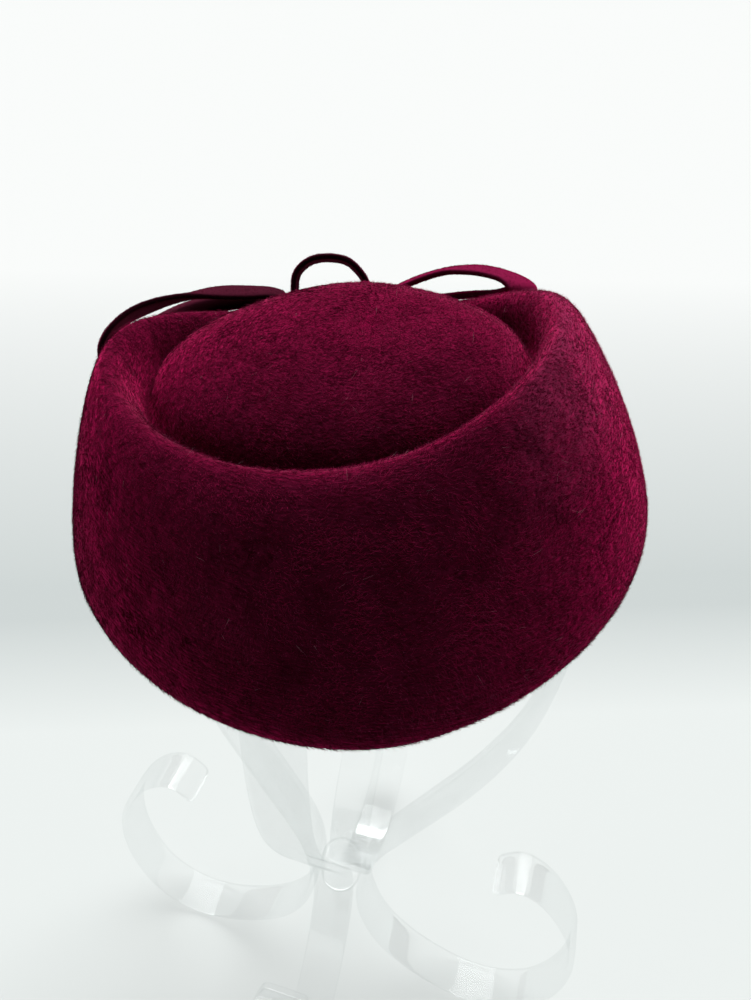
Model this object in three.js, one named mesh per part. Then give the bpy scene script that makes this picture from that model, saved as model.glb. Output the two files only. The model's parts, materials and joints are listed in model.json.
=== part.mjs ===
import * as THREE from "three";

// Pillbox hat of velour felt with three felt loops, on a clear four-armed stand. Millimetres, +Z up.
// The hat is drawn about its own axis with the edge of the opening near height 0, then leaned and
// lifted on to the stand. "near" is the plain side (-Y), "far" is the side that carries the loops (+Y).

// Hat body
const FELT_THICKNESS = 2.5;
const FACETS_AROUND = 60;
const HAT_LEAN_DEG = 8;

// Outer face of the body, one row per section from the edge of the opening to the valley round the
// tip. Columns: half-sizes to the four sides, heights at those sides, turn about the axis in degrees,
// power of the outline (2 is an ellipse), and how many facets lead to the next row.
const BODY_SECTIONS = [
  { left: 88, right: 91, near: 95, far: 90, zl: 4.5, zr: 0.4, zn: 0.4, zf: 0, turn: 0, power: 1.83, steps: 3 },
  { left: 92, right: 95, near: 99, far: 94, zl: 11.5, zr: 7.4, zn: 7.4, zf: 7, turn: 0, power: 1.83, steps: 3 },
  { left: 84.5, right: 86, near: 87, far: 82, zl: 36, zr: 36.5, zn: 29, zf: 24, turn: -4, power: 1.92, steps: 3 },
  { left: 75, right: 74, near: 72, far: 67, zl: 58.5, zr: 62, zn: 50, zf: 41.5, turn: -9, power: 2, steps: 4 },
  { left: 68.5, right: 66, near: 59.5, far: 54, zl: 68, zr: 72, zn: 58.5, zf: 48, turn: -11, power: 2, steps: 3 },
  { left: 63.5, right: 60.5, near: 52.5, far: 47, zl: 63, zr: 67, zn: 53.5, zf: 43.5, turn: -11, power: 2, steps: 4 },
  { left: 60, right: 57.5, near: 47.5, far: 43, zl: 50.5, zr: 54, zn: 46.5, zf: 34, turn: -11, power: 2, steps: 3 },
];

// Domed tip that rises from the valley, gently on the near side and more fully on the far side
const TIP_HEIGHT = 72;
const TIP_SHIFT = { x: 7, y: 19 };
const TIP_FULLNESS = { near: 1.75, far: 2.3 };
const TIP_ANGLES_DEG = [24, 44, 62, 77];
const TIP_STEPS = 2;

// Felt loops: one row per bend of the strip. Columns: middle of the strip, the heading and the pitch in
// degrees of the direction across it, and its width, which is gathered at the middle of the bow. The two
// side loops turn back under themselves.
const LOOP_THICKNESS = 2.6;
const LOOP_EDGE_ROUND = 0.8;
const LOOP_STEPS = 44;
const LEFT_LOOP = [
  { x: -75, y: 39.3, z: 36.6, heading: 57, pitch: 0, width: 18 },
  { x: -77, y: 38.7, z: 43, heading: 72, pitch: -8, width: 18 },
  { x: -79.2, y: 38, z: 50.5, heading: 96, pitch: -20, width: 18 },
  { x: -77, y: 39, z: 57, heading: 105, pitch: -26, width: 18 },
  { x: -68.5, y: 46, z: 60.6, heading: 110, pitch: -33, width: 18 },
  { x: -55, y: 54.8, z: 60.6, heading: 106, pitch: -26, width: 18 },
  { x: -41, y: 60.6, z: 58.9, heading: 97, pitch: -11, width: 18 },
  { x: -29, y: 61.6, z: 57.1, heading: 91, pitch: -9, width: 16 },
  { x: -21, y: 60.6, z: 56.3, heading: 90, pitch: -9, width: 12 },
  { x: -17.4, y: 60.3, z: 54.3, heading: 90, pitch: -9, width: 11 },
  { x: -21, y: 60.9, z: 52.4, heading: 90, pitch: -9, width: 12 },
  { x: -29, y: 64.5, z: 53, heading: 94, pitch: -7, width: 16 },
  { x: -39, y: 65.3, z: 53.3, heading: 99, pitch: -5, width: 18 },
  { x: -50, y: 61.8, z: 53.6, heading: 108, pitch: -6, width: 18 },
  { x: -59, y: 57, z: 53, heading: 114, pitch: -10, width: 18 },
  { x: -66, y: 52.6, z: 51.8, heading: 118, pitch: -14, width: 18 },
];
const CENTRE_LOOP = [
  { x: -12.5, y: 56.1, z: 51.1, heading: 90, pitch: -25, width: 18 },
  { x: -13, y: 58.2, z: 56, heading: 90, pitch: -24, width: 18 },
  { x: -11.5, y: 61.2, z: 62, heading: 90, pitch: -24, width: 18 },
  { x: -6.5, y: 62.7, z: 65.5, heading: 90, pitch: -24, width: 18 },
  { x: 0, y: 62.9, z: 66, heading: 90, pitch: -24, width: 18 },
  { x: 7.2, y: 62, z: 64, heading: 90, pitch: -24, width: 18 },
  { x: 12, y: 59.5, z: 58.4, heading: 90, pitch: -24, width: 18 },
  { x: 13.3, y: 56.9, z: 52.6, heading: 90, pitch: -24, width: 18 },
  { x: 13, y: 55, z: 48.1, heading: 90, pitch: -24, width: 18 },
];
const RIGHT_LOOP = [
  { x: 20.5, y: 55.8, z: 49, heading: 92, pitch: -21, width: 16 },
  { x: 30, y: 57, z: 48.8, heading: 86, pitch: -21, width: 18 },
  { x: 40, y: 55.6, z: 49.3, heading: 76, pitch: -21, width: 18 },
  { x: 49, y: 52, z: 50.7, heading: 62, pitch: -20, width: 18 },
  { x: 55.5, y: 47.3, z: 52.1, heading: 48, pitch: -21, width: 18 },
  { x: 60.9, y: 42, z: 53.75, heading: 39, pitch: -24, width: 18 },
  { x: 64.6, y: 39.2, z: 55.9, heading: 37, pitch: -24, width: 18 },
  { x: 62.3, y: 42.6, z: 58.3, heading: 38, pitch: -22, width: 18 },
  { x: 56.5, y: 47.6, z: 59.6, heading: 48, pitch: -18, width: 18 },
  { x: 49.5, y: 51.3, z: 60.2, heading: 62, pitch: -16, width: 18 },
  { x: 41, y: 54.6, z: 59.4, heading: 74, pitch: -19, width: 18 },
  { x: 31, y: 56.5, z: 56.8, heading: 82, pitch: -20, width: 18 },
  { x: 23.5, y: 57, z: 54, heading: 90, pitch: -22, width: 17 },
  { x: 20.2, y: 56.6, z: 53, heading: 92, pitch: -22, width: 16 },
];

// Clear stand: four like strips round one axis, each with an arm into the hat and a scrolled foot.
// Columns: distance from the stand's axis and height above the floor, from the foot's curl to the arm.
const STAND_AXIS = { x: 0, y: -2 };
const STAND_FIRST_TURN_DEG = -21;
const STRIP_WIDTH = 20;
const STRIP_THICKNESS = 3;
const STRIP_EDGE_ROUND = 0.5;
const STRIP_STEPS = 52;
const STRIP_BENDS = [
  { out: 75, up: 112 },
  { out: 86, up: 121 },
  { out: 102, up: 111 },
  { out: 117, up: 82 },
  { out: 118, up: 46 },
  { out: 105, up: 14 },
  { out: 81, up: 1.5 },
  { out: 53, up: 9 },
  { out: 28, up: 29 },
  { out: 15.5, up: 54 },
  { out: 12, up: 80 },
  { out: 17.5, up: 108 },
  { out: 35, up: 142 },
  { out: 56, up: 182 },
  { out: 71, up: 222 },
  { out: 77.5, up: 262 },
  { out: 79, up: 298 },
];
// The four arm tips, placed so that each just meets the inside of the hat.
const ARM_TIPS = [
  { out: 83.8, up: 330 },
  { out: 79.3, up: 330 },
  { out: 82.4, up: 330 },
  { out: 80.5, up: 330 },
];
const HAT_LIFT = 305;
const HUB_RADIUS = 10.2;
const HUB_HEIGHT = 20;
const HUB_MIDDLE = 80;
const HUB_EDGE = 1;
const HUB_FACETS = 32;

const felt = new THREE.MeshStandardMaterial({ color: 0x5a0a2e, roughness: 0.95, metalness: 0 });
const trimFelt = new THREE.MeshStandardMaterial({ color: 0x480826, roughness: 0.95, metalness: 0 });
const clear = new THREE.MeshStandardMaterial({ color: 0xe9f0f2, roughness: 0.08, metalness: 0 });

const radians = THREE.MathUtils.degToRad;

// Smooth value of a column between rows i and i + 1 of a table.
function blend(rows, i, t, column) {
  const a = rows[Math.max(i - 1, 0)][column];
  const b = rows[i][column];
  const c = rows[i + 1][column];
  const d = rows[Math.min(i + 2, rows.length - 1)][column];
  const linear = c - a;
  const square = 2 * a - 5 * b + 4 * c - d;
  const cube = 3 * b - a - 3 * c + d;
  return 0.5 * (2 * b + linear * t + square * t * t + cube * t * t * t);
}

function blendRow(rows, i, t) {
  const row = {};
  for (const column of Object.keys(rows[i])) {
    row[column] = blend(rows, i, t, column);
  }
  return row;
}

// One closed ring of points for a row of the body table.
function sectionRing(row) {
  const ring = [];
  for (let j = 0; j < FACETS_AROUND; j += 1) {
    const angle = (2 * Math.PI * j) / FACETS_AROUND;
    const c = Math.cos(angle);
    const s = Math.sin(angle);
    const halfX = c >= 0 ? row.right : row.left;
    const halfY = s >= 0 ? row.far : row.near;
    const x = halfX * Math.sign(c) * Math.abs(c) ** (2 / row.power);
    const y = halfY * Math.sign(s) * Math.abs(s) ** (2 / row.power);
    const zSide = c >= 0 ? row.zr : row.zl;
    const zEnd = s >= 0 ? row.zf : row.zn;
    const point = new THREE.Vector3(x, y, zSide * c * c + zEnd * s * s);
    ring.push(point.applyAxisAngle(new THREE.Vector3(0, 0, 1), radians(row.turn)));
  }
  return ring;
}

// A point of the valley ring drawn in and lifted towards the apex.
function tipPoint(p, angle) {
  const nearness = 0.5 - (0.5 * p.y) / Math.hypot(p.x, p.y);
  const power = 2 / THREE.MathUtils.lerp(TIP_FULLNESS.far, TIP_FULLNESS.near, nearness);
  const inwards = Math.cos(radians(angle)) ** power;
  const upwards = Math.sin(radians(angle)) ** power;
  return new THREE.Vector3(
    p.x * inwards + TIP_SHIFT.x * (1 - inwards),
    p.y * inwards + TIP_SHIFT.y * (1 - inwards),
    p.z + (TIP_HEIGHT - p.z) * upwards,
  );
}

// All rings of the outer face from the edge to just under the apex.
function bodyRings() {
  const keys = BODY_SECTIONS.map(sectionRing);
  const valley = keys[keys.length - 1];
  const apex = new THREE.Vector3(TIP_SHIFT.x, TIP_SHIFT.y, TIP_HEIGHT);
  const tip = TIP_ANGLES_DEG.map((angle) => valley.map((p) => tipPoint(p, angle)));
  keys.push(...tip, valley.map(() => apex.clone()));
  const rings = [];
  for (let i = 0; i + 1 < keys.length; i += 1) {
    const steps = i < BODY_SECTIONS.length ? BODY_SECTIONS[i].steps : TIP_STEPS;
    for (let k = 0; k < steps; k += 1) {
      rings.push(valley.map((_, j) => {
        const column = keys.map((ring) => ring[j]);
        const row = blendRow(column, i, k / steps);
        return new THREE.Vector3(row.x, row.y, row.z);
      }));
    }
  }
  return { rings, apex };
}

// The same rings moved inwards by the thickness of the felt.
function insideRings(rings, apex) {
  return rings.map((ring, i) => ring.map((point, j) => {
    const around = new THREE.Vector3().subVectors(
      ring[(j + 1) % ring.length],
      ring[(j + ring.length - 1) % ring.length],
    );
    const above = i + 1 < rings.length ? rings[i + 1][j] : apex;
    const along = new THREE.Vector3().subVectors(above, rings[Math.max(i - 1, 0)][j]);
    const outwards = around.cross(along).normalize();
    return point.clone().addScaledVector(outwards, -FELT_THICKNESS);
  }));
}

function closedGeometry(points, triangles) {
  const geometry = new THREE.BufferGeometry();
  geometry.setAttribute("position", new THREE.Float32BufferAttribute(points.flatMap((p) => [p.x, p.y, p.z]), 3));
  geometry.setIndex(triangles);
  geometry.computeVertexNormals();
  return geometry;
}

// Two triangles for each facet between rings a and b, which start at those point numbers.
function band(triangles, a, b, count) {
  for (let j = 0; j < count; j += 1) {
    const next = (j + 1) % count;
    triangles.push(a + j, a + next, b + next, a + j, b + next, b + j);
  }
}

function fan(triangles, start, centre, count, facing) {
  for (let j = 0; j < count; j += 1) {
    const next = (j + 1) % count;
    if (facing > 0) {
      triangles.push(start + j, start + next, centre);
    } else {
      triangles.push(start + next, start + j, centre);
    }
  }
}

// The body: outer face, inner face and a rounded edge between them.
function hatBody() {
  const { rings, apex } = bodyRings();
  const inside = insideRings(rings, apex);
  const edge = rings[0].map((point, j) => {
    const middle = point.clone().add(inside[0][j]).multiplyScalar(0.5);
    const downwards = new THREE.Vector3().subVectors(point, rings[1][j]).normalize();
    return middle.addScaledVector(downwards, FELT_THICKNESS / 2);
  });
  const loops = [...inside.slice().reverse(), edge, ...rings];
  const points = loops.flat();
  const triangles = [];
  for (let i = 0; i + 1 < loops.length; i += 1) {
    band(triangles, i * FACETS_AROUND, (i + 1) * FACETS_AROUND, FACETS_AROUND);
  }
  const insideApex = points.length;
  points.push(apex.clone().setZ(apex.z - FELT_THICKNESS), apex);
  fan(triangles, 0, insideApex, FACETS_AROUND, -1);
  fan(triangles, (loops.length - 1) * FACETS_AROUND, insideApex + 1, FACETS_AROUND, 1);
  return closedGeometry(points, triangles);
}

// Cross-section of a flat strip with softened edges.
function stripOutline(width, thickness, round) {
  const w = width / 2;
  const t = thickness / 2;
  const inner = w - round;
  const flat = t - round;
  return [
    [-inner, -t], [inner, -t], [w, -flat], [w, flat], [inner, t], [-inner, t], [-w, flat], [-w, -flat],
  ];
}

// Such a strip swept along a table of points, widths and crosswise directions.
function sweptStrip(rows, crosswise, size) {
  const stations = [];
  const spans = rows.length - 1;
  for (let k = 0; k <= size.steps; k += 1) {
    const at = (k / size.steps) * spans;
    const i = Math.min(Math.floor(at), spans - 1);
    stations.push(blendRow(rows, i, at - i));
  }
  const middles = stations.map((row) => new THREE.Vector3(row.x, row.y, row.z));
  const points = [];
  stations.forEach((row, k) => {
    const before = middles[Math.max(k - 1, 0)];
    const after = middles[Math.min(k + 1, size.steps)];
    const along = new THREE.Vector3().subVectors(after, before).normalize();
    const across = crosswise(row);
    across.addScaledVector(along, -across.dot(along)).normalize();
    const face = new THREE.Vector3().crossVectors(along, across);
    for (const [u, v] of stripOutline(row.width, size.thickness, size.round)) {
      points.push(middles[k].clone().addScaledVector(across, u).addScaledVector(face, v));
    }
  });
  const count = points.length / stations.length;
  const triangles = [];
  for (let k = 0; k < size.steps; k += 1) {
    band(triangles, k * count, (k + 1) * count, count);
  }
  const last = size.steps * count;
  points.push(middles[0], middles[size.steps]);
  fan(triangles, 0, points.length - 2, count, -1);
  fan(triangles, last, points.length - 1, count, 1);
  return closedGeometry(points, triangles);
}

function feltLoop(rows) {
  const size = {
    thickness: LOOP_THICKNESS,
    round: LOOP_EDGE_ROUND,
    steps: LOOP_STEPS,
  };
  const crosswise = (row) => new THREE.Vector3(
    Math.cos(radians(row.heading)) * Math.cos(radians(row.pitch)),
    Math.sin(radians(row.heading)) * Math.cos(radians(row.pitch)),
    Math.sin(radians(row.pitch)),
  );
  return sweptStrip(rows, crosswise, size);
}

// One strip of the stand, bent in the XZ plane.
function standStrip(armTip) {
  const rows = [...STRIP_BENDS, armTip].map(
    (bend) => ({ x: bend.out, y: 0, z: bend.up, width: STRIP_WIDTH }),
  );
  const crosswise = () => new THREE.Vector3(0, 1, 0);
  const size = {
    thickness: STRIP_THICKNESS,
    round: STRIP_EDGE_ROUND,
    steps: STRIP_STEPS,
  };
  return sweptStrip(rows, crosswise, size);
}

function standHub() {
  const half = HUB_HEIGHT / 2;
  const profile = [
    new THREE.Vector2(0, -half),
    new THREE.Vector2(HUB_RADIUS - HUB_EDGE, -half),
    new THREE.Vector2(HUB_RADIUS, -half + HUB_EDGE),
    new THREE.Vector2(HUB_RADIUS, half - HUB_EDGE),
    new THREE.Vector2(HUB_RADIUS - HUB_EDGE, half),
    new THREE.Vector2(0, half),
  ];
  const geometry = new THREE.LatheGeometry(profile, HUB_FACETS);
  return geometry.rotateX(Math.PI / 2);
}

function piece(name, geometry, material) {
  const mesh = new THREE.Mesh(geometry, material);
  mesh.name = name;
  return mesh;
}

// The hat leans to its left.
const hat = new THREE.Group();
hat.rotation.y = -radians(HAT_LEAN_DEG);
hat.position.z = HAT_LIFT;
hat.add(piece("felt_body", hatBody(), felt));
hat.add(piece("left_loop", feltLoop(LEFT_LOOP), trimFelt));
hat.add(piece("centre_loop", feltLoop(CENTRE_LOOP), trimFelt));
hat.add(piece("right_loop", feltLoop(RIGHT_LOOP), trimFelt));

const stand = new THREE.Group();
stand.position.set(STAND_AXIS.x, STAND_AXIS.y, 0);
ARM_TIPS.forEach((armTip, index) => {
  const strip = piece(`stand_strip_${index + 1}`, standStrip(armTip), clear);
  strip.rotation.z = radians(STAND_FIRST_TURN_DEG + (360 * index) / ARM_TIPS.length);
  stand.add(strip);
});
const hub = piece("stand_hub", standHub(), clear);
hub.position.z = HUB_MIDDLE;
stand.add(hub);

// Origin at the middle of the footprint, on the floor.
const object = new THREE.Group();
object.name = "pillbox_hat_on_stand";
object.add(hat, stand);
const box = new THREE.Box3().setFromObject(object, true);
const middle = box.getCenter(new THREE.Vector3());
object.position.set(-middle.x, -middle.y, -box.min.z);

export default object;
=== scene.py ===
import json
import math

import bmesh
import bpy
import numpy as np
from mathutils import Matrix, Vector, noise

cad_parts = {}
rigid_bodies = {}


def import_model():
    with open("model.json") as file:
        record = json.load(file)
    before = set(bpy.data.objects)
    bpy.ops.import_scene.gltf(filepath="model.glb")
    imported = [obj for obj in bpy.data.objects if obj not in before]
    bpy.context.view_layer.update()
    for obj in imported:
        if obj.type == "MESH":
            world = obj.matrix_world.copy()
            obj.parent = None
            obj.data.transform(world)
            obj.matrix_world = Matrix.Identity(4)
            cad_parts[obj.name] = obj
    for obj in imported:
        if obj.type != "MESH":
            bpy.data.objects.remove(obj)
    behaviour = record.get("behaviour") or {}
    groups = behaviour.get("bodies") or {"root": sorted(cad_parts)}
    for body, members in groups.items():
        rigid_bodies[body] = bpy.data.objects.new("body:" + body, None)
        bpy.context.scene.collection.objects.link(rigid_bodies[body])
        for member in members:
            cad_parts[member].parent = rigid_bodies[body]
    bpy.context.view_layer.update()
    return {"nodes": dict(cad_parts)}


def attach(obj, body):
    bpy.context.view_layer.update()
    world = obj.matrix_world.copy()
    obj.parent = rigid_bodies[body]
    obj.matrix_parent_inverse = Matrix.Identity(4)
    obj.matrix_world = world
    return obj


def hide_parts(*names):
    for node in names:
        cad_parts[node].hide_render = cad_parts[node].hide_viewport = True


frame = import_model()

bl_info = {
    "name": "Pillbox Hat on a Clear Stand",
    "version": (1, 0, 0),
    "blender": (4, 5, 0),
    "location": "View3D > Sidebar > Hat",
    "description": "Velour felt hat with three felt loops, on a clear acrylic stand",
    "category": "Object",
}

BODY = "root"
MM = 0.001

# How the hat sits on its stand: its lean to the left and the middle of its opening.
HAT_LEAN = math.radians(8)
HAT_MIDDLE = Vector((0, 2, 305)) * MM
UPRIGHT = np.array(Matrix.Rotation(HAT_LEAN, 3, "Y"))

# The lit right of the rim, where pale light is painted: its turn to the back, its foot and its
# height.
LIT_HAZE_TURN = 0.2
LIT_HAZE_FOOT = 350 * MM
LIT_HAZE_HEIGHT = 32 * MM

# Lengths of the felt strips, laid flat.
STRIP_LENGTHS = {"left": 143 * MM, "centre": 52 * MM, "right": 102 * MM}

# Tones of the nap: colour, sheen, liking for the lighter patches, and share of the nap's rise.
TONES = {
    "nap_deep": ((0.0075, 0.002, 0.004), 0.3, -1.6, 0.3),
    "nap_plum": ((0.0145, 0.0028, 0.0066), 0.4, -0.8, 0.5),
    "nap_crimson": ((0.037, 0.0033, 0.0115), 0.5, 0.8, 0.9),
    "nap_rose": ((0.095, 0.0105, 0.0315), 0.6, 1.6, 1.2),
}

# Rise and radius of the fuzz, the fibres on the strips and the stray threads.
BLOOM_RISE = math.radians(50)
BLOOM_RADIUS = 0.03 * MM
STRIP_FIBRE_RADIUS = 0.045 * MM
LINT_RISE = math.radians(22)
LINT_RADIUS = 0.032 * MM

# Shortest and longest fibres, as shares of a length.
NAP_SPREAD = (0.5, 1.3)
BLOOM_SPREAD = (0.3, 0.7)
LINT_SPREAD = (1.5, 4.5)

MERGE_DISTANCE = 0.01 * MM
QUAD_ANGLE = math.radians(60)


# Sizes and colours

class FeltSettings(bpy.types.PropertyGroup):
    """Colours of the velour felt."""

    deep: bpy.props.FloatVectorProperty(
        name="Deep", description="Felt between the naps", subtype="COLOR",
        default=(0.0065, 0.0023, 0.0042))
    middle: bpy.props.FloatVectorProperty(
        name="Middle", description="Main colour of the felt", subtype="COLOR",
        default=(0.027, 0.003, 0.0096))
    light: bpy.props.FloatVectorProperty(
        name="Light", description="Combed streaks in the felt", subtype="COLOR",
        default=(0.062, 0.0033, 0.017))
    sheen: bpy.props.FloatVectorProperty(
        name="Sheen", description="Colour of the velvet sheen", subtype="COLOR",
        default=(1.0, 0.013, 0.18))
    # Painted light: a pale colour mixed into the felt on the lit right of the rim.
    lit_haze: bpy.props.FloatVectorProperty(
        name="Ruffled", description="Felt on the right of the rim, where the nap stands up",
        subtype="COLOR", default=(0.27, 0.036, 0.1))
    # Painted sheen: a pale colour mixed in where the felt is seen edge-on, along its outline.
    outline_sheen: bpy.props.FloatVectorProperty(
        name="Haze", description="Pale fuzz seen along the outline", subtype="COLOR",
        default=(0.32, 0.1, 0.16))
    # Real fuzz in a pale colour that paints light on the lit right of the rim and along its edge.
    fuzz_and_light_haze: bpy.props.FloatVectorProperty(
        name="Fuzz", description="Fine hairs that stand up from the nap", subtype="COLOR",
        default=(0.26, 0.05, 0.11))
    lint: bpy.props.FloatVectorProperty(
        name="Lint", description="Stray pale threads", subtype="COLOR",
        default=(0.34, 0.18, 0.21))
    # Painted shade: the felt of the left and centre loops, darkened for the shade they lie in.
    strip: bpy.props.FloatVectorProperty(
        name="Strip", description="Colour of the cut felt strips", subtype="COLOR",
        default=(0.0075, 0.0013, 0.003))
    # Painted light: the felt of the right loop, lightened for the light that falls on it.
    lit_strip: bpy.props.FloatVectorProperty(
        name="Bright strip", description="Colour of the strip that shows its napped face",
        subtype="COLOR", default=(0.13, 0.009, 0.038))
    strip_nap: bpy.props.FloatVectorProperty(
        name="Strip nap", description="Fibres on the strips", subtype="COLOR",
        default=(0.03, 0.004, 0.011))
    strip_sheen: bpy.props.FloatVectorProperty(
        name="Strip sheen", description="Colour of the sheen on the strips", subtype="COLOR",
        default=(0.6, 0.085, 0.19))


class NapSettings(bpy.types.PropertyGroup):
    """Size and number of the fibres of the nap."""

    count: bpy.props.IntProperty(
        name="Fibres per tone", description="Number of fibres of each tone on the hat",
        default=42000, min=100)
    bloom_count: bpy.props.IntProperty(
        name="Fuzz", description="Number of fine hairs that stand up from the nap",
        default=36000, min=100)
    strip_count: bpy.props.IntProperty(
        name="Fibres on the loops", description="Number of fibres on the three loops",
        default=9000, min=100)
    lint_count: bpy.props.IntProperty(
        name="Lint", description="Number of stray pale threads", default=240, min=1)
    length: bpy.props.FloatProperty(
        name="Length", description="Usual length of a fibre", default=1.9 * MM,
        subtype="DISTANCE", unit="LENGTH")
    radius: bpy.props.FloatProperty(
        name="Radius", description="Radius of a fibre at its root", default=0.06 * MM,
        subtype="DISTANCE", unit="LENGTH")
    rise: bpy.props.FloatProperty(
        name="Rise", description="Angle of a fibre above the felt", subtype="ANGLE",
        default=math.radians(15))
    patch: bpy.props.FloatProperty(
        name="Patch", description="Size of the lighter and darker patches", default=11 * MM,
        subtype="DISTANCE", unit="LENGTH")
    seed: bpy.props.IntProperty(name="Seed", description="Seed of the scatter", default=11)


class StandSettings(bpy.types.PropertyGroup):
    """Finish of the clear stand."""

    tint: bpy.props.FloatVectorProperty(
        name="Tint", description="Light that passes through one face", subtype="COLOR",
        default=(0.994, 0.995, 0.995))
    shine: bpy.props.FloatVectorProperty(
        name="Shine", description="Colour of the faint gloss", subtype="COLOR",
        default=(0.82, 0.84, 0.84))
    gloss: bpy.props.FloatProperty(
        name="Gloss", description="Share of the gloss that is kept", default=0.22)
    index: bpy.props.FloatProperty(
        name="Index", description="Index of refraction of acrylic", default=1.49)


class StageSettings(bpy.types.PropertyGroup):
    """Floor, light and camera."""

    floor_near: bpy.props.FloatVectorProperty(
        name="Floor, near", description="Colour of the floor round the stand", subtype="COLOR",
        default=(0.53, 0.556, 0.547))
    # Painted shade: a darker band on the floor behind the stand.
    floor_shade_band: bpy.props.FloatVectorProperty(
        name="Floor, band", description="Colour of the floor behind the stand", subtype="COLOR",
        default=(0.395, 0.425, 0.421))
    # Painted light: the floor far behind is paler, as if more lit.
    floor_far_light: bpy.props.FloatVectorProperty(
        name="Floor, far", description="Colour of the floor far behind", subtype="COLOR",
        default=(0.595, 0.606, 0.6))
    room_front: bpy.props.FloatProperty(
        name="Room, front", description="Light from the side of the camera", default=0.03)
    room_back: bpy.props.FloatProperty(
        name="Room, back", description="Light from behind the hat", default=0.6)
    room_seen: bpy.props.FloatProperty(
        name="Room, seen", description="Brightness of the room in the picture", default=0.86)
    window_light: bpy.props.FloatProperty(
        name="Window", description="Strength of the light from the window", default=5.3)
    window_width: bpy.props.FloatProperty(
        name="Window width", description="Angle that the window takes up", subtype="ANGLE",
        default=math.radians(60))
    window_towards: bpy.props.FloatVectorProperty(
        name="Window direction", description="Way that the light from the window goes",
        subtype="XYZ", default=(-0.2, -0.6, -0.8))
    camera_place: bpy.props.FloatVectorProperty(
        name="Camera", description="Place of the camera", subtype="TRANSLATION", unit="LENGTH",
        default=(-21.12 * MM, -213.82 * MM, 472.1 * MM))
    camera_pan: bpy.props.FloatProperty(
        name="Pan", description="Turn of the camera to its right", subtype="ANGLE",
        default=math.radians(7.1))
    camera_tilt: bpy.props.FloatProperty(
        name="Tilt", description="Tilt of the camera above level", subtype="ANGLE",
        default=math.radians(-36.71))
    camera_roll: bpy.props.FloatProperty(
        name="Roll", description="Roll of the camera", subtype="ANGLE",
        default=math.radians(3.706))
    lens: bpy.props.FloatProperty(
        name="Lens", description="Focal length on a 36 mm wide sensor", default=38.349)


SETTINGS = {
    "hat_felt": FeltSettings,
    "hat_nap": NapSettings,
    "hat_stand": StandSettings,
    "hat_stage": StageSettings,
}


# Materials

class Number:
    """A number that changes over a surface, for sums written as Python expressions."""

    def __init__(self, tree, socket):
        self.tree = tree
        self.socket = socket

    def sum(self, operation, first, second=0.0):
        node = self.tree.nodes.new("ShaderNodeMath")
        node.operation = operation
        for value, socket in zip((first, second), node.inputs):
            if isinstance(value, Number):
                self.tree.links.new(value.socket, socket)
            else:
                socket.default_value = value
        return Number(self.tree, node.outputs[0])

    def __add__(self, other):
        return self.sum("ADD", self, other)

    __radd__ = __add__

    def __sub__(self, other):
        return self.sum("SUBTRACT", self, other)

    def __rsub__(self, other):
        return self.sum("SUBTRACT", other, self)

    def __mul__(self, other):
        return self.sum("MULTIPLY", self, other)

    __rmul__ = __mul__

    def __pow__(self, other):
        return self.sum("POWER", self, other)

    def angle_to(self, other):
        return self.sum("ARCTAN2", self, other)


class Finish:
    """A material and the nodes that make it."""

    def __init__(self, name):
        self.material = bpy.data.materials.new(name)
        self.material.use_nodes = True
        self.tree = self.material.node_tree
        self.tree.nodes.clear()

    def node(self, kind, settings, sockets):
        """A node of a kind, with its settings and then its sockets filled in."""
        made = self.tree.nodes.new("ShaderNode" + kind)
        for name, value in settings.items():
            setattr(made, name, value)
        for name, value in sockets.items():
            if isinstance(value, Number):
                self.tree.links.new(value.socket, made.inputs[name])
            elif isinstance(value, bpy.types.NodeSocket):
                self.tree.links.new(value, made.inputs[name])
            else:
                made.inputs[name].default_value = value
        return made

    def number(self, socket):
        return Number(self.tree, socket)

    def places(self):
        """Object coordinates, in metres."""
        return self.node("TexCoord", {}, {}).outputs["Object"]

    def parts(self, where):
        """The three coordinates of a place."""
        apart = self.node("SeparateXYZ", {}, {"Vector": where}).outputs
        return [self.number(socket) for socket in apart]

    def cloud(self, where, size, detail=3.0, roughness=0.55):
        """Noise from 0 to 1 with features of about that size in metres."""
        sockets = {"Vector": where, "Scale": 1 / size, "Detail": detail, "Roughness": roughness}
        return self.number(self.node("TexNoise", {}, sockets).outputs[0])

    def contrast(self, value, low, high):
        """The value stretched so that low is 0 and high is 1."""
        sockets = {"Value": value, "From Min": low, "From Max": high}
        return self.number(self.node("MapRange", {"clamp": True}, sockets).outputs[0])

    def mix(self, share, first, second):
        """A colour between two. The sockets go by number, as several have the same name."""
        sockets = {0: share, 6: first, 7: second}
        return self.node("Mix", {"data_type": "RGBA"}, sockets).outputs[2]

    def blend(self, share, first, second):
        """A shader between two, with sockets by number as well."""
        sockets = {0: share, 1: first.outputs[0], 2: second.outputs[0]}
        return self.node("MixShader", {}, sockets)

    def surface(self, shader):
        """The material, with that shader on its surface."""
        self.node("OutputMaterial", {}, {"Surface": shader.outputs[0]})
        return self.material


def opaque(colour):
    return (*colour, 1.0)


def combed(finish, where, length, width):
    """Streaks that run round the hat as its nap was brushed."""
    hat_radius = 80 * MM
    x, y, z = finish.parts(where)
    turn = y.angle_to(x) * hat_radius
    out = (x ** 2 + y ** 2) ** 0.5
    sockets = {"X": turn * (width / length), "Y": out, "Z": z}
    along = finish.node("CombineXYZ", {}, sockets).outputs[0]
    return finish.cloud(along, width, detail=2.0)


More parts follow.
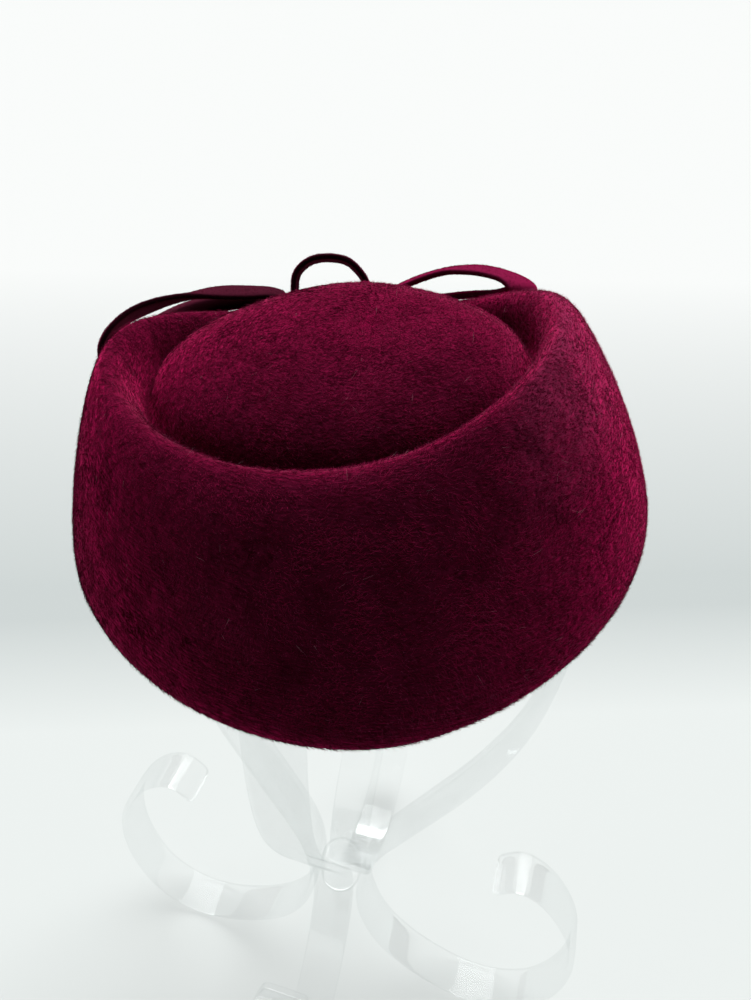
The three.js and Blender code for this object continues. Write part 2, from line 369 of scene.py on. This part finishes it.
def velour():
    """Deep crimson felt, mottled and combed, with a velvet sheen, painted pale light on the rim's
    right and a painted pale sheen along its outline.
    """
    patch_size, mottle_size, swell_size, grain_size = 16 * MM, 5 * MM, 9 * MM, 0.6 * MM
    streak_length, streak_width = 4 * MM, 0.8 * MM
    rim_start, rim_end = 38 * MM, 64 * MM
    felt = bpy.context.scene.hat_felt
    finish = Finish("velour_felt")
    where = finish.places()
    x, y, z = finish.parts(where)
    patches = finish.contrast(finish.cloud(where, patch_size), low=0.35, high=0.65)
    mottle = finish.contrast(finish.cloud(where, mottle_size, detail=4.0), low=0.3, high=0.7)
    streaks = finish.contrast(
        combed(finish, where, streak_length, streak_width), low=0.3, high=0.75)
    tone = finish.mix(patches * 0.5 + mottle * 0.45, opaque(felt.deep), opaque(felt.middle))
    tone = finish.mix(streaks ** 2 * 0.6, tone, opaque(felt.light))
    # Painted light: the felt turns paler towards the lit right of the rim.
    right = finish.contrast(x - y * LIT_HAZE_TURN, rim_start, rim_end)
    high = finish.contrast(z, LIT_HAZE_FOOT, LIT_HAZE_FOOT + LIT_HAZE_HEIGHT)
    colour = finish.mix(right * high * (0.65 + mottle * 0.35), tone, opaque(felt.lit_haze))
    grain = finish.cloud(where, grain_size, detail=2.0)
    swell = finish.cloud(where, swell_size, detail=2.0)
    bump = finish.node("Bump", {}, {
        "Strength": 0.7,
        "Distance": 0.6 * MM,
        "Height": streaks * 0.6 + grain * 0.4 + swell * 3.0,
    })
    pile = finish.node("BsdfPrincipled", {}, {
        "Base Color": colour,
        "Roughness": 0.8 + streaks * 0.15,
        "Specular IOR Level": 0.0,
        "Sheen Weight": 1.0,
        "Sheen Roughness": 0.5,
        "Sheen Tint": opaque(felt.sheen),
        "Normal": bump.outputs[0],
    })
    outline_sheen = finish.node("BsdfPrincipled", {}, {
        "Base Color": opaque(felt.outline_sheen),
        "Roughness": 0.9,
        "Specular IOR Level": 0.0,
    })
    # Painted sheen: the pale shader takes over where the felt is seen edge-on, paling its
    # outline.
    facing = finish.number(finish.node("LayerWeight", {}, {"Blend": 0.5}).outputs["Facing"])
    return finish.surface(finish.blend(facing ** 5 * 0.25, pile, outline_sheen))


def cut_strip(name, base, sheen):
    """The same felt, cut in strips and pressed flat."""
    mottle_size, grain_size = 4 * MM, 0.5 * MM
    felt = bpy.context.scene.hat_felt
    finish = Finish(name)
    where = finish.places()
    mottle = finish.contrast(finish.cloud(where, mottle_size, detail=4.0), low=0.3, high=0.7)
    grain = finish.cloud(where, grain_size, detail=2.0)
    colour = finish.mix(mottle * 0.35, opaque(base), opaque(felt.middle))
    bump = finish.node("Bump", {}, {"Strength": 0.4, "Distance": 0.4 * MM, "Height": grain})
    return finish.surface(finish.node("BsdfPrincipled", {}, {
        "Base Color": colour,
        "Roughness": 0.85 + grain * 0.1,
        "Specular IOR Level": 0.0,
        "Sheen Weight": 0.55,
        "Sheen Roughness": 0.45,
        "Sheen Tint": opaque(sheen),
        "Normal": bump.outputs[0],
    }))


def fibre(name, colour, sheen):
    """Fibres of one colour."""
    felt = bpy.context.scene.hat_felt
    finish = Finish(name)
    return finish.surface(finish.node("BsdfPrincipled", {}, {
        "Base Color": opaque(colour),
        "Roughness": 0.6,
        "Specular IOR Level": 0.0,
        "Sheen Weight": sheen,
        "Sheen Roughness": 0.5,
        "Sheen Tint": opaque(felt.sheen),
    }))


def clear_acrylic():
    """Thin polished acrylic that lets light straight through and shines towards its edges."""
    mark_size = 3 * MM
    stand = bpy.context.scene.hat_stand
    finish = Finish("clear_acrylic")
    marks = finish.cloud(finish.places(), mark_size, detail=5.0)
    marks = finish.contrast(marks, low=0.5, high=0.8)
    through = finish.node("BsdfTransparent", {}, {"Color": opaque(stand.tint)})
    shine = finish.node("BsdfGlossy", {}, {
        "Color": opaque(stand.shine),
        "Roughness": 0.05 + marks * 0.1,
    })
    share = finish.number(finish.node("Fresnel", {}, {"IOR": stand.index}).outputs[0])
    return finish.surface(finish.blend(share * stand.gloss, through, shine))


# Meshes

def merged_copy(node):
    """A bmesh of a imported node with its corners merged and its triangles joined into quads."""
    work = bmesh.new()
    work.from_mesh(frame["nodes"][node].data)
    bmesh.ops.remove_doubles(work, verts=work.verts, dist=MERGE_DISTANCE)
    bmesh.ops.join_triangles(
        work, faces=work.faces,
        angle_face_threshold=QUAD_ANGLE, angle_shape_threshold=QUAD_ANGLE)
    return work


def finished(name, work, material, nodes=(), levels=0):
    """The bmesh as a smooth piece on the hat's body that stands for those nodes."""
    mesh = bpy.data.meshes.new(name)
    work.to_mesh(mesh)
    work.free()
    return placed(name, mesh, material, nodes, levels)


def placed(name, mesh, material, nodes=(), levels=0):
    """The mesh as a smooth piece on the hat's body."""
    mesh.shade_smooth()
    mesh.materials.clear()
    mesh.materials.append(material)
    piece = bpy.data.objects.new(name, mesh)
    bpy.context.scene.collection.objects.link(piece)
    if levels:
        smooth = piece.modifiers.new("Smooth", "SUBSURF")
        smooth.levels = levels
        smooth.render_levels = levels
    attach(piece, BODY)
    if nodes:
        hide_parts(*nodes)
    return piece


def triangles_of(piece):
    """Corners of a piece's triangles with its modifiers applied, as an array."""
    shown = piece.evaluated_get(bpy.context.evaluated_depsgraph_get())
    mesh = shown.to_mesh()
    mesh.calc_loop_triangles()
    points = np.empty(len(mesh.vertices) * 3)
    mesh.vertices.foreach_get("co", points)
    corners = np.empty(len(mesh.loop_triangles) * 3, dtype=int)
    mesh.loop_triangles.foreach_get("vertices", corners)
    shown.to_mesh_clear()
    return points.reshape(-1, 3)[corners.reshape(-1, 3)]


def unit(vectors):
    return vectors / np.linalg.norm(vectors, axis=-1, keepdims=True)


def on_the_hat(points):
    """Points in the hat's own upright frame."""
    return (points - np.array(HAT_MIDDLE)) @ UPRIGHT.T


def napped(triangles):
    """Only the triangles on the outer face of the hat."""
    tuck_height = 18 * MM
    least_slope = 0.03
    first, second, third = (triangles[:, k] for k in range(3))
    normals = unit(np.cross(second - first, third - first) @ UPRIGHT.T)
    middles = on_the_hat(triangles.mean(axis=1))
    outwards = (normals[:, :2] * middles[:, :2]).sum(axis=1) > 0
    upwards = normals[:, 2] > least_slope
    return triangles[np.where(middles[:, 2] < tuck_height, outwards, upwards)]


def scattered(triangles, count, rng):
    """Evenly scattered points on triangles, with the normals there."""
    first, second, third = (triangles[:, k] for k in range(3))
    normals = np.cross(second - first, third - first)
    areas = np.linalg.norm(normals, axis=1)
    chosen = rng.choice(len(triangles), count, p=areas / areas.sum())
    a, b = rng.random((2, count, 1))
    folded = a + b > 1
    a, b = np.where(folded, 1 - a, a), np.where(folded, 1 - b, b)
    points = first[chosen] + a * (second - first)[chosen] + b * (third - first)[chosen]
    return points, unit(normals[chosen])


def gathered(triangles, count, liking, rng):
    """Scattered points, closer together where the liking for a place is high."""
    spare, chance = 3, 0.4
    points, normals = scattered(triangles, count * spare, rng)
    order = np.argsort(rng.normal(0, chance, len(points)) - liking(points))[:count]
    return points[order], normals[order]


def clouded(points, size):
    """Smooth noise at points, from -1 to 1, with features of about that size in metres."""
    return np.array([noise.noise(Vector(p) / size) for p in points])


def lit_haze(points):
    """1 on the lit right of the rim and along the lower edge, where pale fuzz gathers as painted
    light, and 0 elsewhere.
    """
    rim_start, rim_fade = 42 * MM, 14 * MM
    edge_height, edge_fade = 14 * MM, 8 * MM
    right = np.clip((points @ [1, -LIT_HAZE_TURN, 0] - rim_start) / rim_fade, 0, 1)
    high = np.clip((points[:, 2] - LIT_HAZE_FOOT) / LIT_HAZE_HEIGHT, 0, 1)
    edge = np.clip((edge_height - on_the_hat(points)[:, 2]) / edge_fade, 0, 1)
    return np.maximum(right * high, edge)


def brushed(points, normals, rise, rng):
    """Directions of fibres combed round the hat, with swirls."""
    swirl_size = 20 * MM
    slant, swirl_turn, stray_turn = 0.2, 1.8, 0.65
    off_the_axis = [1e-9, 0, 0]
    outwards = unit(on_the_hat(points) * [1, 1, 0] + off_the_axis)
    around = np.cross([0, 0, 1], outwards) @ UPRIGHT
    around = unit(around - (around * normals).sum(axis=1, keepdims=True) * normals)
    down = np.cross(around, normals)
    swirl = clouded(points, swirl_size)
    turn = (slant + swirl_turn * swirl + rng.normal(0, stray_turn, len(points)))[:, None]
    lying = around * np.cos(turn) + down * np.sin(turn)
    lift = (rise * rng.uniform(0.5, 1.5, len(points)))[:, None]
    return lying * np.cos(lift) + normals * np.sin(lift)


def spikes(points, directions, lengths, radius):
    """A mesh of thin closed spikes with three sides and a foot."""
    sides = 3
    corners = sides + 1
    askew = [0.31, 0.47, 0.83]
    count = len(points)
    across = unit(np.cross(directions, askew))
    other = np.cross(directions, across)
    places = np.empty((count, corners, 3))
    for k in range(sides):
        angle = 2 * math.pi * k / sides
        places[:, k] = points + radius * (math.cos(angle) * across + math.sin(angle) * other)
    places[:, sides] = points + directions * lengths[:, None]
    pattern = np.array([(2, 1, 0), (0, 1, 3), (1, 2, 3), (2, 0, 3)])
    faces = np.arange(count)[:, None, None] * corners + pattern
    mesh = bpy.data.meshes.new("fibres")
    mesh.from_pydata(places.reshape(-1, 3), [], faces.reshape(-1, 3))
    return mesh


def grown(roots, rise, length, spread, radius, rng):
    """A mesh of brushed fibres on roots, which are points and normals."""
    points, normals = roots
    directions = brushed(points, normals, rise, rng)
    lengths = length * rng.uniform(*spread, len(points))
    return spikes(points, directions, lengths, radius)


# Operators

class HAT_OT_felt_body(bpy.types.Operator):
    """Make the blocked felt body of the hat"""

    bl_idname = "hat.felt_body"
    bl_label = "Felt Body"

    def execute(self, context):
        work = merged_copy("felt_body")
        finished("hat_felt", work, velour(), ["felt_body"], levels=1)
        return {"FINISHED"}


class HAT_OT_loops(bpy.types.Operator):
    """Make the three loops of cut felt"""

    bl_idname = "hat.loops"
    bl_label = "Felt Loops"

    def execute(self, context):
        felt = context.scene.hat_felt
        # Lit and shaded copies of one felt: painted shade on the left and centre loops, painted
        # light on the right.
        dark = cut_strip("strip_felt", felt.strip, felt.strip_sheen)
        bright = cut_strip("bright_strip_felt", felt.lit_strip, felt.sheen)
        materials = {"left": dark, "centre": dark, "right": bright}
        for side, length in STRIP_LENGTHS.items():
            node = f"{side}_loop"
            piece = finished(
                f"{side}_felt_loop", merged_copy(node), materials[side], [node],
                levels=2)
        return {"FINISHED"}


class HAT_OT_nap(bpy.types.Operator):
    """Scatter the nap, its pale fuzz, which paints light where it gathers, and a little lint over
    the felt
    """

    bl_idname = "hat.nap"
    bl_label = "Nap"

    def execute(self, context):
        felt = context.scene.hat_felt
        nap = context.scene.hat_nap
        rng = np.random.default_rng(nap.seed)
        pieces = bpy.data.objects
        outer = napped(triangles_of(pieces["hat_felt"]))
        strips = [triangles_of(pieces[f"{side}_felt_loop"]) for side in STRIP_LENGTHS]

        for name, (colour, sheen, lightness, rise) in TONES.items():
            roots = gathered(
                outer, nap.count, lambda points: lightness * clouded(points, nap.patch), rng)
            mesh = grown(roots, nap.rise * rise, nap.length, NAP_SPREAD, nap.radius, rng)
            placed(name, mesh, fibre(name, colour, sheen))

        # Pale fuzz: real hairs, gathered on the lit right and along the edge, whose pale colour
        # paints light.
        roots = gathered(outer, nap.bloom_count, lit_haze, rng)
        mesh = grown(roots, BLOOM_RISE, nap.length, BLOOM_SPREAD, BLOOM_RADIUS, rng)
        placed("nap_fuzz_and_light_haze", mesh, fibre("nap_fuzz_and_light_haze", felt.fuzz_and_light_haze, sheen=0.3))

        roots = scattered(np.concatenate(strips), nap.strip_count, rng)
        mesh = grown(roots, nap.rise, 0.5 * nap.length, NAP_SPREAD, STRIP_FIBRE_RADIUS, rng)
        placed("nap_strips", mesh, fibre("nap_strips", felt.strip_nap, sheen=0.3))

        roots = scattered(outer, nap.lint_count, rng)
        mesh = grown(roots, LINT_RISE, 1 * MM, LINT_SPREAD, LINT_RADIUS, rng)
        placed("lint", mesh, fibre("lint", felt.lint, sheen=0.0))
        return {"FINISHED"}


class HAT_OT_stand(bpy.types.Operator):
    """Make the clear stand"""

    bl_idname = "hat.stand"
    bl_label = "Clear Stand"

    def execute(self, context):
        material = clear_acrylic()
        for node in sorted(n for n in frame["nodes"] if n.startswith("stand_strip")):
            name = node.replace("stand", "clear")
            finished(name, merged_copy(node), material, [node], levels=2)
        hub = merged_copy("stand_hub")
        finished("clear_hub", hub, material, ["stand_hub"], levels=1)
        return {"FINISHED"}


class HAT_OT_stage(bpy.types.Operator):
    """Set up the floor, the light and the camera"""

    bl_idname = "hat.stage"
    bl_label = "Stage"

    def execute(self, context):
        self.floor(context)
        self.light(context)
        self.camera(context)
        context.scene.view_settings.view_transform = "Standard"
        return {"FINISHED"}

    def floor(self, context):
        """A wide pale floor with a darker band of painted shade behind the stand, and painted
        light far behind.
        """
        band_start, band_end = 0.15, 0.26
        far_start, far_end, far_ease = 0.3, 1.0, 0.85
        floor_size, grain_size = 20, 2 * MM
        stage = context.scene.hat_stage
        finish = Finish("pale_floor")
        where = finish.places()
        grain = finish.cloud(where, grain_size)
        back = finish.parts(where)[1]
        # Painted shade in the band behind the stand, and painted light on the far floor.
        band = finish.contrast(back, band_start, band_end)
        far = finish.contrast(back, far_start, far_end) ** far_ease
        colour = finish.mix(band, opaque(stage.floor_near), opaque(stage.floor_shade_band))
        colour = finish.mix(far, colour, opaque(stage.floor_far_light))
        shader = finish.node("BsdfPrincipled", {}, {
            "Base Color": colour,
            "Roughness": 0.75 + grain * 0.1,
            "Specular IOR Level": 0.0,
        })
        mesh = bpy.data.meshes.new("floor")
        work = bmesh.new()
        bmesh.ops.create_grid(work, x_segments=2, y_segments=2, size=floor_size)
        work.to_mesh(mesh)
        work.free()
        mesh.materials.append(finish.surface(shader))
        floor = bpy.data.objects.new("floor", mesh)
        context.scene.collection.objects.link(floor)

    def light(self, context):
        """A white room that lights the hat from behind, and a wide window there."""
        stage = context.scene.hat_stage
        world = bpy.data.worlds.new("soft_white")
        world.use_nodes = True
        nodes = world.node_tree.nodes
        link = world.node_tree.links.new
        background = nodes["Background"]
        background.inputs["Color"].default_value = (1, 1, 1, 1)
        apart = nodes.new("ShaderNodeSeparateXYZ")
        room = nodes.new("ShaderNodeMapRange")
        room.inputs["From Min"].default_value = -0.3
        room.inputs["From Max"].default_value = 0.5
        room.inputs["To Min"].default_value = stage.room_front
        room.inputs["To Max"].default_value = stage.room_back
        seen = nodes.new("ShaderNodeMix")
        seen.inputs["B"].default_value = stage.room_seen
        link(nodes.new("ShaderNodeTexCoord").outputs["Generated"], apart.inputs["Vector"])
        link(apart.outputs["Y"], room.inputs["Value"])
        link(room.outputs[0], seen.inputs["A"])
        link(nodes.new("ShaderNodeLightPath").outputs["Is Camera Ray"], seen.inputs["Factor"])
        link(seen.outputs["Result"], background.inputs["Strength"])
        context.scene.world = world
        window = bpy.data.lights.new("window", "SUN")
        window.energy = stage.window_light
        window.angle = stage.window_width
        lamp = bpy.data.objects.new("window", window)
        towards = Vector(stage.window_towards)
        lamp.rotation_euler = towards.to_track_quat("-Z", "Y").to_euler()
        context.scene.collection.objects.link(lamp)

    def camera(self, context):
        """The camera, placed by its pan, tilt and roll."""
        stage = context.scene.hat_stage
        data = bpy.data.cameras.new("camera")
        data.sensor_fit = "HORIZONTAL"
        data.sensor_width = 36
        data.lens = stage.lens
        data.clip_start = 1 * MM
        camera = bpy.data.objects.new("camera", data)
        turn = Matrix.Rotation(-stage.camera_pan, 4, "Z")
        tilt = Matrix.Rotation(math.pi / 2 + stage.camera_tilt, 4, "X")
        roll = Matrix.Rotation(stage.camera_roll, 4, "Z")
        camera.matrix_world = Matrix.Translation(stage.camera_place) @ turn @ tilt @ roll
        context.scene.collection.objects.link(camera)
        context.scene.camera = camera


class HAT_PT_panel(bpy.types.Panel):
    """Buttons and settings of the hat"""

    bl_idname = "HAT_PT_panel"
    bl_label = "Pillbox Hat"
    bl_space_type = "VIEW_3D"
    bl_region_type = "UI"
    bl_category = "Hat"

    def draw(self, context):
        for operator in OPERATORS:
            self.layout.operator(operator.bl_idname)
        for name, kind in SETTINGS.items():
            box = self.layout.box()
            for field in kind.__annotations__:
                box.prop(getattr(context.scene, name), field)


OPERATORS = [HAT_OT_felt_body, HAT_OT_loops, HAT_OT_nap, HAT_OT_stand, HAT_OT_stage]
CLASSES = [*SETTINGS.values(), *OPERATORS, HAT_PT_panel]


def register():
    for kind in CLASSES:
        bpy.utils.register_class(kind)
    for name, kind in SETTINGS.items():
        setattr(bpy.types.Scene, name, bpy.props.PointerProperty(type=kind))


def unregister():
    for name in SETTINGS:
        delattr(bpy.types.Scene, name)
    for kind in reversed(CLASSES):
        bpy.utils.unregister_class(kind)


def main():
    register()
    bpy.ops.hat.felt_body()
    bpy.ops.hat.loops()
    bpy.ops.hat.nap()
    bpy.ops.hat.stand()
    bpy.ops.hat.stage()


if __name__ == "__main__":
    main()
